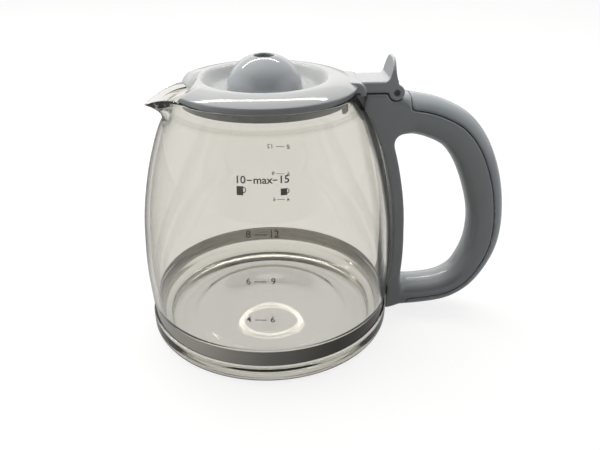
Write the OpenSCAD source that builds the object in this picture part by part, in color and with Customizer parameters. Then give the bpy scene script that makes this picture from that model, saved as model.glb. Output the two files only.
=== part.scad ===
// Glass coffee jug with a steel foot band, a hollow plastic handle and a hinged lid.
// It stands on z = 0 with the glass axis on z. The handle points along +x and the spout along -x.

/* [Glass] */
// Outer radius of the belly at its widest
belly_r = 68.2; // [64:0.1:74]
// Height of the glass rim above the table
glass_h = 132.6; // [124:0.1:145]
// Outer radius of the glass rim
rim_r = 45.6; // [43:0.1:48]
// Thickness of the glass wall
wall = 2.6; // [2:0.1:3.2]
// Height of the rounded foot below the band
foot_h = 10.9; // [9:0.1:14]
// Radius of the foot's lower edge
foot_corner = 5; // [3:0.1:6]
// Width of the flat ring that the glass stands on
ring_w = 2.5; // [1.5:0.1:4]
// Height of the glass underside above the table
base_rise = 1.8; // [1:0.1:3]
// Thickness of the glass floor
floor_t = 2.8; // [2.2:0.1:4]
// Radius of the inner corner between floor and wall
floor_fillet = 7; // [4:0.1:9]
// Radius of the domed middle of the floor
punt_r = 18; // [12:0.1:24]
// Height of the domed middle of the floor
punt_h = 2.2; // [1:0.1:4]

/* [Spout] */
// Length of the spout beyond the rim
spout_reach = 16; // [12:0.1:20]
// Radius of the spout's cone at its root, inside the wall
spout_root_r = 2.9; // [2.6:0.1:3.4]
// Radius of the spout's cone at the height of the rim
spout_mouth_r = 15.8; // [14:0.1:17]
// Height of the spout's cone below the rim
spout_h = 17; // [15:0.1:19]
// Drop of the spout's tip below the rim
spout_drop = 5.5; // [3:0.1:7]

/* [Band] */
// Height of the steel band
band_h = 8.75; // [6:0.05:12]
// Thickness of the steel band
band_t = 0.75; // [0.5:0.05:0.9]
// Depth of the groove that the band lies in
groove_depth = 2; // [1.4:0.1:2.6]
// Distance from the middle to the outside of each folded end of the band
lug_y = 5; // [4.5:0.1:6]
// Length of the folded ends of the band
lug_len = 6.2; // [5.6:0.1:8]
// Radius of the clamp screw's shank
screw_r = 1.95; // [1.5:0.05:2.2]

/* [Handle] */
// Reach of the handle beyond the belly
handle_reach = 63.2; // [50:0.1:80]
// Width of the handle
handle_w = 21; // [18:0.1:25]
// Height of the handle's lowest point above the table
handle_low = 2.9; // [2:0.1:6]
// Depth of the grip from its outer to its inner face
grip_depth = 20; // [16:0.1:24]
// Depth of the outer cover of the grip
cover_depth = 7; // [5:0.1:9]
// Rounding of the long edges of the grip
grip_round = 5; // [3:0.1:6]
// Wall thickness of the hollow grip
grip_wall = 2.2; // [1.6:0.1:3]
// Thickness of the spine that lies along the glass
spine_t = 6.9; // [5:0.1:9]
// Radius of the cover screw's shank
cover_screw_r = 1.4; // [1:0.05:1.6]

/* [Lid] */
// Overhang of the lid's edge beyond the glass rim
lid_overhang = 1.3; // [0.8:0.1:2.5]
// Height of the lid's edge
edge_h = 4.1; // [3.4:0.1:5]
// Height of the raised ring above the lid's edge
crest_h = 2.7; // [1.5:0.1:4]
// Radius of the raised ring round the dish
crest_r = 32.5; // [30:0.1:34]
// Thickness of the lid's shell
lid_t = 2.2; // [1.8:0.1:2.6]
// Depth of the dish below the raised ring
dish_depth = 6.4; // [4:0.1:7]
// Radius of the dome's foot
dome_r = 19; // [16:0.1:21]
// Height of the dome above the dish
dome_h = 17.2; // [12:0.1:22]
// Radius of the drip hole in the dome
drip_r = 5; // [3:0.1:7]
// Height of the skirt below the glass rim
skirt_h = 4.6; // [3:0.1:7]
// Height of the two tabs below the skirt
tab_h = 4; // [2:0.1:6]
// Drop of the lid's edge at the spout
edge_dip = 2; // [1:0.1:2.4]
// Width of the pour slot in the liner
pour_w = 32; // [20:0.5:38]

/* [Hinge] */
// Distance from the lid's edge to the hinge pin
hinge_reach = 18.2; // [17:0.1:20]
// Depth of the hinge pin below the glass rim
pin_drop = 0.4; // [0:0.1:0.8]
// Radius of the hinge pin
pin_r = 1.5; // [1.2:0.05:1.8]
// Radius of the hinge ears
ear_r = 3.9; // [3.6:0.1:4.2]
// Thickness of each hinge ear
ear_t = 2.9; // [2.4:0.1:3.4]
// Width of the lid's arm
arm_w = 20.4; // [18:0.1:21]
// Height of the arm
arm_h = 6; // [5.4:0.1:7]
// Height of the thumb lever above the arm
lever_h = 9.8; // [8:0.1:16]
// Width of the hook over the glass rim
hook_w = 11; // [8:0.1:12]

/* [Hidden] */

// Fits, small gaps and smoothness
gap = 0.3;
fit = 0.05;
overrun = 1;
round_fn = 96;
small_fn = 48;

// Glass: the outline's height above the groove and its swell beyond the rim, as shares
foot_inset = 0.4;
foot_neck = 1;
band_gap = 0.2;
lip_h = 0.4;
lip_inset = 0.3;
foot_r = belly_r - foot_inset;
groove_r = foot_r - groove_depth;
groove_top = foot_h + band_h + 2 * band_gap;
body_z0 = groove_top + lip_h;
body_z1 = glass_h - wall / 2;
swell = belly_r - rim_r;
body_shares = [
    [0, 0.965], [0.16, 1], [0.3, 0.98], [0.45, 0.92], [0.6, 0.79], [0.74, 0.61], [0.87, 0.375],
    [0.965, 0.09], [0.985, 0.02]
];
curve_steps = 4;
floor_z = base_rise + floor_t;
base_inner_r = groove_r - wall;
ring_r1 = foot_r - foot_corner;
ring_r0 = ring_r1 - ring_w;
punt_steps = 6;
corner_steps = 6;

// Point at t between b and c on the smooth curve through a, b, c and d
function smooth(a, b, c, d, t) =
    b + (c - a) * t / 2 + (2 * a - 5 * b + 4 * c - d) * t * t / 2 + (3 * b - a - 3 * c + d) * t * t * t / 2;
// Smooth curve through the points p, with n steps between neighbours
function curve(p, n) = [
    for (i = [0 : len(p) - 2], k = [0 : n - 1])
        smooth(p[max(i - 1, 0)], p[i], p[i + 1], p[min(i + 2, len(p) - 1)], k / n),
    p[len(p) - 1]
];
// Unit direction of the curve p at its point i
function along(p, i) = let (d = p[min(i + 1, len(p) - 1)] - p[max(i - 1, 0)]) d / norm(d);
// The curve p moved by d to the left of its direction
function shifted(p, d) = [for (i = [0 : len(p) - 1]) let (u = along(p, i)) p[i] + d * [-u.y, u.x]];
// Arc round c from angle a0 to a1 in n steps
function arc(c, r, a0, a1, n) = [for (k = [0 : n]) let (a = a0 + (a1 - a0) * k / n) c + r * [cos(a), sin(a)]];
// The list p in reverse order
function reversed(p) = [for (i = [len(p) - 1 : -1 : 0]) p[i]];
// Radius at the height z of an outline of [radius, height] points
function radius_at(p, z) = lookup(z, [for (q = p) [q.y, q.x]]);
// Outline of [x, z] points extruded along y, centred on y = 0
module slab(points, width) {
    rotate([90, 0, 0])
        linear_extrude(width, center = true)
            polygon(points);
}

body_line = curve(
    [for (s = body_shares) [rim_r + swell * s.y, body_z0 + (body_z1 - body_z0) * s.x]],
    curve_steps
);
outer_line = concat(body_line, [[rim_r, body_z1]]);
inner_line = concat(shifted(body_line, wall), [[rim_r - wall, body_z1]]);

// Spout: a cone beside the neck, cut off along a slope
spout_slope = (spout_mouth_r - spout_root_r) / spout_h;
tip_x = rim_r + spout_reach;
spout_x = tip_x - spout_mouth_r + spout_slope * spout_drop;
slope_start = 1.6;

// Band, clamp plate and clamp screw
band_z = foot_h + band_gap;
band_r = groove_r + fit;
clamp_z = band_z + band_h / 2;
lug_x = band_r + band_t + lug_len;
hook_end = 2.6;
plate_t = 2.9;
plate_side = 0.15;
tip_len = 1;
screw_head_r = 3;
screw_head_h = 2.4;
bulkhead_t = 5.2;
slot_w = 0.9;
slot_depth = 1.3;
cross_share = 0.6;
pocket_gap = 0.4;
bulkhead_x = lug_x + gap;

// Lid: heights from the glass rim upwards
lid_r = rim_r + lid_overhang;
lid_z0 = glass_h + gap;
edge_top = lid_z0 + edge_h;
crest_z = edge_top + crest_h;
dish_z = crest_z - dish_depth;
edge_round = 1.4;
band_shares = [[0.18, 0.32], [0.4, 0.62], [0.7, 0.9], [1, 1]];
dish_shares = [[0.15, 0.12], [0.35, 0.45], [0.6, 0.82], [0.8, 0.96], [1, 1]];
dish_flat = 5.5;
dish_r = dome_r + dish_flat;
dome_t = 2;
dome_seat = 1.9;
seat_r = dome_r - dome_seat;
dome_steps = 16;
vertex_in = 9.9;
lobe_in = 5.4;
lobe_y = 20;
vertex_x = lid_r - vertex_in;
lobe_x = lid_r - lobe_in;
liner_gap = 0.1;
liner_t = 1.6;
skirt_clear = 1;
skirt_t = 1.8;
skirt_r = rim_r - wall - skirt_clear;
skirt_rise = 1.4;
rib_t = 1.9;
rib_angle = 290;
tab_angle = 9;
tab_place = 20;
pour_x = 30;

// Hinge, hook and arm
pin_x = lid_r + hinge_reach;
pin_z = glass_h - pin_drop;
pin_over_top = 2;
handle_top = pin_z - pin_over_top;
lug_r = 3.3;
ear_gap = 0.3;
lug_w = arm_w - 2 * ear_t - 2 * ear_gap;
recess_gap = 0.6;
recess_r = ear_r + recess_gap;
hook_t = 1.5;
hook_drop = 12;
post_gap = 2.4;
post_x = lid_r + post_gap;
post_t = 3.2;
hook_top = glass_h + gap + hook_t;
arm_gap = 1.8;
arm_z = handle_top + arm_gap;
arm_top = arm_z + arm_h;
arm_roof = 2.2;
arm_side = 2;
saddle_w = 25;
saddle_in = 5.7;
saddle_out = 2.7;
saddle_x0 = lid_r - saddle_in;
saddle_x1 = lid_r + saddle_out;
saddle_round = 2.5;
saddle_rise = 0.2;
lever_shares = [
    [-0.97, 0], [-0.82, 0.82], [-0.74, 0.95], [-0.6, 1], [-0.46, 0.95], [-0.28, 0.6], [-0.05, 0.12]
];
lever_round = 8;
dimple_r = 0.9;
dimple_h = 0.8;

// Handle: the grip's outer face as shares of its reach and height, its depth as shares of grip_depth
reach_x = belly_r + handle_reach;
block_len = 7.9;
grip_x = pin_x + block_len;
grip_shares = [
    [-0.1, 1], [0, 1], [0.217, 0.983], [0.42, 0.947], [0.6, 0.893], [0.776, 0.79], [0.916, 0.641],
    [0.991, 0.48], [0.998, 0.339], [0.935, 0.225], [0.788, 0.107], [0.572, 0.034], [0.325, 0.009],
    [0.065, 0], [0, 0]
];
depth_shares = [1, 1, 1, 1, 1, 1, 0.98, 0.92, 0.91, 0.87, 0.81, 0.81, 0.8, 0.83, 0.83];
grip_steps = 3;
grip_line = curve(
    [for (s = grip_shares) [grip_x + s.x * (reach_x - grip_x), handle_low + s.y * (handle_top - handle_low)]],
    grip_steps
);
grip_depths = [for (d = curve([for (s = depth_shares) [s, 0]], grip_steps)) d.x * grip_depth];
seam = 0.1;
hole_corner = 4.5;
corner_clear = 6.75;
hole_top = handle_top - grip_depth;
hole_low = handle_low + grip_depth * depth_shares[len(depth_shares) - 1];
low_x = radius_at(outer_line, hole_low + hole_corner) + spine_t + hole_corner;
head_x = max(bulkhead_x + bulkhead_t, low_x + fit);
cover_screw_place = 8;
cover_screw_x = head_x + cover_screw_place;
boss_r = 3.2;
boss_rise = 1;
boss_z = handle_low + cover_depth + boss_rise;
cover_head_r = 2.7;
cover_head_h = 1.8;
cover_head_rise = 1.6;
cover_head_z = handle_low + cover_head_rise;
cover_screw_len = 11;

stations = len(grip_line) - 1;
round_shares = [[0, 1], [0.29, 0.29], [1, 0]];
side_wall = 3.2;
// Point of the grip at station i, at the depth u below its outer face
function grip_point(i, u) = let (d = along(grip_line, i)) grip_line[i] + u * [d.y, -d.x];
// Outline of the grip between the depths u0 and u1, which hold one depth for each station
function grip_outline(u0, u1) = concat(
    [for (i = [0 : stations]) grip_point(i, u0[i])],
    [for (i = [stations : -1 : 0]) grip_point(i, u1[i])]
);
// The same depth u at each station
function level(u) = [for (i = [0 : stations]) u];
// Grip between the depths u0 and u1 in layers, with its long edges rounded at u0 by r0 and at u1 by r1
module grip_layers(u0, u1, r0, r1) {
    for (s = round_shares)
        slab(
            grip_outline([for (u = u0) u + s.x * r0], [for (u = u1) u - s.x * r1]),
            handle_w - 2 * s.y * grip_round
        );
}

// Outline of the glass wall and floor as [radius, height]
function punt(z) = [
    for (k = [0 : punt_steps]) [punt_r * k / punt_steps, z + punt_h * (1 + cos(180 * k / punt_steps)) / 2]
];
function outside_outline() = concat(
    punt(base_rise),
    [[ring_r0 - base_rise, base_rise], [ring_r0, 0]],
    arc([ring_r1, foot_corner], foot_corner, -90, 0, corner_steps),
    [[foot_r, foot_h - foot_neck], [foot_r - foot_neck, foot_h], [groove_r, foot_h], [groove_r, groove_top]],
    [[outer_line[0].x - lip_inset, groove_top]],
    outer_line,
    arc([rim_r - wall / 2, body_z1], wall / 2, 0, 90, corner_steps),
    [[0, glass_h]]
);
// Outline of the hollow inside the glass, open at the rim
function inside_outline() = concat(
    punt(floor_z),
    arc([base_inner_r - floor_fillet, floor_z + floor_fillet], floor_fillet, -90, 0, corner_steps),
    [[base_inner_r, groove_top]],
    inner_line,
    arc([rim_r - wall / 2, body_z1], wall / 2, 180, 90, corner_steps),
    [[rim_r - wall / 2, glass_h + overrun], [0, glass_h + overrun]]
);
// Cone of the spout, raised by rise
module spout_cone(rise) {
    translate([-spout_x, 0, glass_h - spout_h + rise])
        cylinder(r1 = spout_root_r, r2 = spout_mouth_r, h = spout_h, $fn = round_fn);
}

module glass_jug() {
    cut_x = rim_r - slope_start;
    color("azure", 0.4)
    difference() {
        union() {
            rotate_extrude($fn = round_fn)
                polygon(outside_outline());
            spout_cone(0);
        }
        rotate_extrude($fn = round_fn)
            polygon(inside_outline());
        spout_cone(wall / spout_slope);
        slab([
            [-cut_x, glass_h], [cut_x - 2 * tip_x, glass_h - 2 * spout_drop],
            [cut_x - 2 * tip_x, 2 * glass_h], [-cut_x, 2 * glass_h]
        ], belly_r);
    }
}

module base_band() {
    color("silver")
    translate([0, 0, band_z])
        linear_extrude(band_h) {
            difference() {
                circle(r = band_r + band_t, $fn = round_fn);
                circle(r = band_r, $fn = round_fn);
                translate([0, band_t - lug_y])
                    square([lug_x, 2 * (lug_y - band_t)]);
            }
            for (side = [-1, 1])
                mirror([0, side - 1]) {
                    translate([band_r, lug_y - band_t])
                        square([lug_x - band_r, band_t]);
                    translate([lug_x - band_t, lug_y - hook_end])
                        square([band_t, hook_end]);
                }
        }
}

module band_clamp_plate() {
    side = lug_y - band_t - plate_side;
    color("gray")
    difference() {
        translate([lug_x - band_t - fit - plate_t, -side, band_z + plate_side])
            cube([plate_t, 2 * side, band_h - 2 * plate_side]);
        translate([lug_x - band_t - plate_t - overrun, 0, clamp_z])
            rotate([0, 90, 0])
                cylinder(r = screw_r + fit, h = plate_t + 2 * overrun, $fn = small_fn);
    }
}

module band_screw() {
    shank_x = lug_x - band_t - plate_t - tip_len;
    color("lightgray")
    translate([0, 0, clamp_z])
        rotate([0, 90, 0])
            difference() {
                union() {
                    translate([0, 0, shank_x])
                        cylinder(r = screw_r, h = head_x - shank_x, $fn = small_fn);
                    translate([0, 0, head_x])
                        cylinder(r = screw_head_r, h = screw_head_h, $fn = small_fn);
                }
                for (turn = [0, 90])
                    rotate(turn)
                        translate([0, 0, head_x + screw_head_h - slot_depth / 2])
                            cube([2 * cross_share * screw_head_r, slot_w, slot_depth + fit], center = true);
            }
}

// Solid of the handle between the glass, the grip, the hinge and the foot
module handle_core() {
    spine = [
        for (p = outer_line) if (p.y > hole_low + corner_clear && p.y < hole_top - corner_clear)
            [p.x + spine_t, p.y]
    ];
    top_x = radius_at(outer_line, hole_top - hole_corner) + spine_t + hole_corner;
    slab(
        concat(
            [[foot_r, handle_low], [foot_r, groove_top], [0, groove_top], [0, hole_top], [post_x, hole_top]],
            [[post_x, handle_top], [grip_x, handle_top], [grip_x, hole_top]],
            arc([top_x, hole_top - hole_corner], hole_corner, 90, 180, corner_steps),
            reversed(spine),
            arc([low_x, hole_low + hole_corner], hole_corner, 180, 270, corner_steps),
            [[head_x, hole_low], [head_x, handle_low]]
        ),
        handle_w
    );
}

// Space that the glass takes, with a small gap round it
module glass_space() {
    rotate_extrude($fn = round_fn)
        polygon(concat(
            [[0, -overrun], [foot_r + gap, -overrun], [foot_r + gap, groove_top]],
            shifted(outer_line, -gap),
            [[rim_r + gap, hook_top + overrun], [0, hook_top + overrun]]
        ));
}

// Hook that goes over the glass rim and down inside the neck
module rim_hook() {
    neck = [for (p = inner_line) if (p.y > glass_h - hook_drop) p];
    translate([post_x, -hook_w / 2, handle_top - overrun])
        cube([post_t, hook_w, hook_top - handle_top + overrun]);
    translate([rim_r - wall - gap - hook_t / 2, -hook_w / 2, hook_top - hook_t])
        cube([post_x + post_t / 2 - rim_r + wall + gap + hook_t / 2, hook_w, hook_t]);
    intersection() {
        rotate_extrude($fn = round_fn)
            polygon(concat(
                shifted(neck, gap),
                [[rim_r - wall - gap, hook_top], [rim_r - wall - gap - hook_t, hook_top]],
                reversed(shifted(neck, gap + hook_t))
            ));
        translate([0, -hook_w / 2, 0])
            cube([belly_r, hook_w, 2 * glass_h]);
    }
}

module handle_body() {
    color("gray") {
        difference() {
            union() {
                handle_core();
                difference() {
                    grip_layers(level(cover_depth + seam), grip_depths, 0, grip_round);
                    slab(
                        grip_outline(level(cover_depth - overrun), [for (u = grip_depths) u - grip_wall]),
                        handle_w - 2 * side_wall
                    );
                }
                translate([cover_screw_x, 0, boss_z])
                    cylinder(r = boss_r, h = hole_low - grip_wall / 2 - boss_z, $fn = small_fn);
                translate([pin_x - lug_r, -lug_w / 2, handle_top - overrun])
                    cube([2 * lug_r, lug_w, pin_z - handle_top + overrun]);
                translate([pin_x, 0, pin_z])
                    rotate([90, 0, 0])
                        cylinder(r = lug_r, h = lug_w, center = true, $fn = small_fn);
            }
            glass_space();
            translate([0, -lug_y - pocket_gap, band_z - pocket_gap])
                cube([bulkhead_x, 2 * (lug_y + pocket_gap), band_h + 2 * pocket_gap]);
            translate([bulkhead_x - overrun, 0, clamp_z])
                rotate([0, 90, 0])
                    cylinder(r = screw_r + gap, h = head_x - bulkhead_x + 2 * overrun, $fn = small_fn);
            translate([head_x, 0, clamp_z])
                rotate([0, 90, 0])
                    cylinder(r = screw_head_r + gap, h = screw_head_h + gap, $fn = small_fn);
            for (side = [-1, 1])
                translate([pin_x, side * (lug_w / 2 + arm_w / 2), pin_z])
                    rotate([90, 0, 0])
                        cylinder(r = recess_r, h = arm_w, center = true, $fn = small_fn);
            translate([pin_x, 0, pin_z])
                rotate([90, 0, 0])
                    cylinder(r = pin_r, h = arm_w, center = true, $fn = small_fn);
            translate([cover_screw_x, 0, boss_z - overrun])
                cylinder(r = cover_screw_r, h = cover_screw_len - cover_depth + 2 * overrun, $fn = small_fn);
        }
        rim_hook();
    }
}

module handle_cover() {
    color("dimgray")
    difference() {
        union() {
            difference() {
                grip_layers(level(0), level(cover_depth), grip_round, 0);
                slab(grip_outline(level(grip_wall), level(cover_depth + overrun)), handle_w - 2 * side_wall);
            }
            translate([cover_screw_x, 0, handle_low + grip_wall])
                cylinder(r = boss_r, h = boss_z - seam - handle_low - grip_wall, $fn = small_fn);
        }
        translate([0, -handle_w, hole_low])
            cube([grip_x + seam, 2 * handle_w, glass_h]);
        translate([0, -handle_w, -overrun])
            cube([head_x + seam, 2 * handle_w, hole_low + 2 * overrun]);
        translate([cover_screw_x, 0, 0])
            cylinder(r = cover_screw_r + fit, h = glass_h / 2, $fn = small_fn);
        translate([cover_screw_x, 0, 0])
            cylinder(r = cover_head_r + gap, h = cover_head_z + cover_head_h, $fn = small_fn);
    }
}

module cover_screw() {
    color("lightgray")
    translate([cover_screw_x, 0, cover_head_z])
        difference() {
            union() {
                cylinder(r = cover_head_r, h = cover_head_h, $fn = small_fn);
                cylinder(r = cover_screw_r, h = cover_screw_len, $fn = small_fn);
            }
            for (turn = [0, 90])
                rotate(turn)
                    translate([-cross_share * cover_head_r, -slot_w / 2, -overrun])
                        cube([2 * cross_share * cover_head_r, slot_w, overrun + cover_head_h / 2]);
        }
}

module hinge_pin() {
    color("silver")
    translate([pin_x, 0, pin_z])
        rotate([90, 0, 0])
            difference() {
                cylinder(r = pin_r, h = arm_w, center = true, $fn = small_fn);
                for (side = [-1, 1])
                    translate([0, 0, side * arm_w / 2])
                        cylinder(r = dimple_r, h = 2 * dimple_h, center = true, $fn = small_fn);
            }
}

// Top of the lid's shell from the edge to the dish as [radius, height]
plate_corner = [lid_r - edge_round, edge_top - edge_round];
plate_rise = concat(
    [[lid_r, lid_z0]],
    arc(plate_corner, edge_round, 0, 90, corner_steps),
    [for (b = band_shares) [plate_corner.x + b.x * (crest_r - plate_corner.x), edge_top + b.y * crest_h]]
);
plate_fall = [
    for (b = dish_shares) [crest_r + b.x * (dish_r - crest_r), crest_z + b.y * (dish_z - crest_z)]
];
// Outline of the lid's shell
plate_outline = concat(
    plate_rise,
    plate_fall,
    [[seat_r, dish_z], [seat_r, dish_z - lid_t]],
    [for (p = reversed(plate_fall)) [p.x - lid_t / 4, p.y - lid_t]],
    [[crest_r, crest_z - lid_t], [lid_r - lid_t - edge_round, edge_top - lid_t], [lid_r - lid_t, lid_z0]]
);

module lid_plate() {
    lobe_z = edge_top - edge_dip;
    color("gray")
    difference() {
        union() {
            rotate_extrude($fn = round_fn)
                polygon(plate_outline);
            rotate(-rib_angle / 2)
                rotate_extrude(angle = rib_angle, $fn = round_fn)
                    translate([skirt_r - skirt_t - liner_gap - rib_t, dish_z - lid_t])
                        square([rib_t, crest_z - dish_z - lid_t / 2]);
            intersection() {
                rotate_extrude($fn = round_fn)
                    polygon(concat(plate_rise, [[crest_r - overrun, crest_z], [crest_r - overrun, lid_z0]]));
                slab([
                    [-crest_r, crest_z], [-lobe_x, lobe_z], [-lid_r, lobe_z], [-lid_r, lid_z0],
                    [-lobe_x, lid_z0], [-crest_r, crest_z - lid_t]
                ], 2 * lid_r);
            }
        }
        slab([
            [-crest_r, crest_z], [-lobe_x, lobe_z], [-2 * lid_r, lobe_z], [-2 * lid_r, 2 * glass_h],
            [-crest_r, 2 * glass_h]
        ], 2 * lid_r);
        translate([0, 0, lid_z0 - overrun])
            linear_extrude(glass_h)
                polygon([
                    [-vertex_x, 0], [-lobe_x, lobe_y], [-lid_r - overrun, lobe_y],
                    [-lid_r - overrun, -lobe_y], [-lobe_x, -lobe_y]
                ]);
        translate([saddle_x0 - fit, -saddle_w / 2 - fit, lid_z0 - overrun])
            cube([lid_r, saddle_w + 2 * fit, crest_z]);
    }
}

// Quarter outline of the dome, from its foot up to the drip hole, for the half axes r and h
function dome_line(r, h) =
    let (a1 = acos(drip_r / r))
    [for (k = [0 : dome_steps]) let (a = a1 * k / dome_steps) [r * cos(a), dish_z + h * sin(a)]];

module lid_dome() {
    color("gray")
    rotate_extrude($fn = round_fn)
        polygon(concat(
            [[seat_r - fit, dish_z], [seat_r - fit, dish_z - lid_t], [seat_r - dome_t, dish_z - lid_t]],
            dome_line(dome_r - dome_t, dome_h - dome_t),
            reversed(dome_line(dome_r, dome_h)),
            [[dome_r, dish_z + fit], [seat_r - fit, dish_z + fit]]
        ));
}

module lid_liner() {
    disc_z = dish_z - lid_t - liner_gap - liner_t;
    color("darkgray")
    difference() {
        union() {
            rotate_extrude($fn = round_fn)
                polygon([
                    [seat_r - dome_t, disc_z], [skirt_r - skirt_t, disc_z],
                    [skirt_r - skirt_t, glass_h - skirt_h], [skirt_r, glass_h - skirt_h],
                    [skirt_r, glass_h + skirt_rise],
                    [skirt_r - skirt_t, glass_h + skirt_rise], [skirt_r - skirt_t, disc_z + liner_t],
                    [seat_r - dome_t, disc_z + liner_t]
                ]);
            for (side = [-1, 1])
                rotate(side * tab_place - tab_angle / 2)
                    rotate_extrude(angle = tab_angle, $fn = round_fn)
                        translate([skirt_r - skirt_t + fit, glass_h - skirt_h - tab_h])
                            square([skirt_t - 2 * fit, tab_h + skirt_h]);
        }
        translate([-belly_r, -pour_w / 2, 0])
            cube([belly_r - pour_x, pour_w, 2 * glass_h]);
        translate([rim_r - wall - hook_t - 2 * skirt_t, -hook_w / 2 - 2 * skirt_clear, 0])
            cube([belly_r, hook_w + 4 * skirt_clear, 2 * glass_h]);
    }
}

module lid_arm() {
    saddle_top = arm_top + saddle_rise;
    color("gray")
    difference() {
        union() {
            translate([saddle_x0, -saddle_w / 2, lid_z0])
                cube([saddle_x1 - saddle_x0 - saddle_round, saddle_w, saddle_top - lid_z0]);
            for (side = [-1, 1])
                translate([saddle_x1 - saddle_round, side * (saddle_w / 2 - saddle_round), lid_z0])
                    cylinder(r = saddle_round, h = saddle_top - lid_z0, $fn = small_fn);
            translate([saddle_x0, saddle_round - saddle_w / 2, lid_z0])
                cube([saddle_x1 - saddle_x0, saddle_w - 2 * saddle_round, saddle_top - lid_z0]);
            translate([saddle_x1 - overrun, -arm_w / 2, arm_z])
                cube([pin_x - saddle_x1 + overrun, arm_w, arm_h]);
            translate([pin_x, 0, pin_z])
                rotate([90, 0, 0])
                    cylinder(r = ear_r, h = arm_w, center = true, $fn = small_fn);
            intersection() {
                slab(
                    [
                        for (s = lever_shares)
                            [pin_x + s.x * ear_r, arm_top - overrun + s.y * (lever_h + overrun)]
                    ],
                    arm_w
                );
                union() {
                    translate([0, -arm_w / 2, 0])
                        cube([2 * pin_x, arm_w, arm_top + lever_h - lever_round]);
                    translate([0, lever_round - arm_w / 2, 0])
                        cube([2 * pin_x, arm_w - 2 * lever_round, arm_top + lever_h]);
                    for (side = [-1, 1])
                        translate([pin_x, side * (arm_w / 2 - lever_round), arm_top + lever_h - lever_round])
                            rotate([0, 90, 0])
                                cylinder(r = lever_round, h = 2 * pin_x, center = true, $fn = small_fn);
                }
            }
        }
        translate([saddle_x0 - overrun, arm_side - arm_w / 2, arm_z - overrun])
            cube([pin_x - ear_r - saddle_x0 + overrun, arm_w - 2 * arm_side, arm_h - arm_roof + overrun]);
        translate([pin_x - ear_r - overrun, -lug_w / 2 - ear_gap, 0])
            cube([2 * ear_r + 2 * overrun, lug_w + 2 * ear_gap, pin_z]);
        translate([pin_x, 0, pin_z])
            rotate([90, 0, 0])
                cylinder(r = ear_r + ear_gap, h = lug_w + 2 * ear_gap, center = true, $fn = small_fn);
        translate([pin_x, 0, pin_z])
            rotate([90, 0, 0])
                cylinder(r = pin_r + fit, h = 2 * arm_w, center = true, $fn = small_fn);
    }
}

glass_jug();
base_band();
band_clamp_plate();
band_screw();
handle_body();
handle_cover();
cover_screw();
hinge_pin();
lid_plate();
lid_dome();
lid_liner();
lid_arm();
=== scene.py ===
# Glass coffee jug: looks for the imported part
# Shapes are in millimetres in the part's own frame. Camera, lamps, floor and places in shaders are in metres.
import math

import bmesh
import bpy
import numpy as np
from mathutils import Matrix, Vector


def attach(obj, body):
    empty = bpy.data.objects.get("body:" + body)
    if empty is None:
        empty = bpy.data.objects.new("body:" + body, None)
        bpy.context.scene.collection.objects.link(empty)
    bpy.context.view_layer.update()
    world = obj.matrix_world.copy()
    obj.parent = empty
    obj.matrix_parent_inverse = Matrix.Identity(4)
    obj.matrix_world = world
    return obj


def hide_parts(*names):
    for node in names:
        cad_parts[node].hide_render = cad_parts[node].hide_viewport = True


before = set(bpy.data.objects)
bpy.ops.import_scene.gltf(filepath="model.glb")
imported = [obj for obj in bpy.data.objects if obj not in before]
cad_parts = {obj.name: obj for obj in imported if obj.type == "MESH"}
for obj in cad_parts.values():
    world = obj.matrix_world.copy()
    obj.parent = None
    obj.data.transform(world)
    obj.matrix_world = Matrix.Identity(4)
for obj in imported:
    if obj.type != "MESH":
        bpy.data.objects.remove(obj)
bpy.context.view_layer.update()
MM = 0.001

# Camera, solved from the ellipses of the foot, the band and the lid
PICTURE_W, PICTURE_H = 600.0, 450.0
AXIS_PX = (291.45, 230.56)
FOCAL_PX = 610.4
SENSOR_W = 36.0
NEAR_CLIP = 0.01
CAMERA_PLACE = (0, -0.3048, 0.2125)
PITCH, YAW, ROLL = math.radians(27.74), math.radians(2.413), math.radians(-0.421)

cam_data = bpy.data.cameras.new("camera")
cam_data.sensor_width = SENSOR_W
cam_data.lens = FOCAL_PX * SENSOR_W / PICTURE_W
cam_data.shift_x = (PICTURE_W / 2 - AXIS_PX[0]) / PICTURE_W
cam_data.shift_y = (AXIS_PX[1] - PICTURE_H / 2) / PICTURE_W
cam_data.clip_start = NEAR_CLIP
cam = bpy.data.objects.new("camera", cam_data)
bpy.context.scene.collection.objects.link(cam)
ahead = Vector((math.sin(YAW) * math.cos(PITCH), math.cos(YAW) * math.cos(PITCH), -math.sin(PITCH)))
level = Vector((math.cos(YAW), -math.sin(YAW), 0))
above = level.cross(ahead)
cam_right = level * math.cos(ROLL) + above * math.sin(ROLL)
cam_up = -level * math.sin(ROLL) + above * math.cos(ROLL)
cam_turn = Matrix((cam_right, cam_up, -ahead)).transposed().to_4x4()
cam.matrix_world = Matrix.Translation(Vector(CAMERA_PLACE)) @ cam_turn
bpy.context.scene.camera = cam
bpy.context.scene.view_settings.view_transform = "Standard"

# Shader helpers: tree is a node tree, b is its principled shader
NOISE_LOW, NOISE_HIGH = 0.3, 0.7


def grey(value):
    return (value,) * 3


def new_material(name):
    material = bpy.data.materials.new(name)
    material.use_nodes = True
    tree = material.node_tree
    return material, tree, tree.nodes["Principled BSDF"]


def add(tree, kind, **inputs):
    node = tree.nodes.new(kind)
    for name, value in inputs.items():
        node.inputs[name.replace("_", " ")].default_value = value
    return node


def plug(tree, value, socket):
    if isinstance(value, bpy.types.NodeSocket):
        tree.links.new(value, socket)
    else:
        socket.default_value = value


def ramp(tree, source, stops):
    node = tree.nodes.new("ShaderNodeValToRGB")
    elements = node.color_ramp.elements
    while len(elements) < len(stops):
        elements.new(0.5)
    for element, (position, colour) in zip(elements, stops):
        element.position = position
        element.color = (*colour, 1)
    tree.links.new(source, node.inputs["Fac"])
    return node.outputs["Color"]


def mottle(tree, noise, low, high):
    return ramp(tree, noise, [(NOISE_LOW, low), (NOISE_HIGH, high)])


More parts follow.
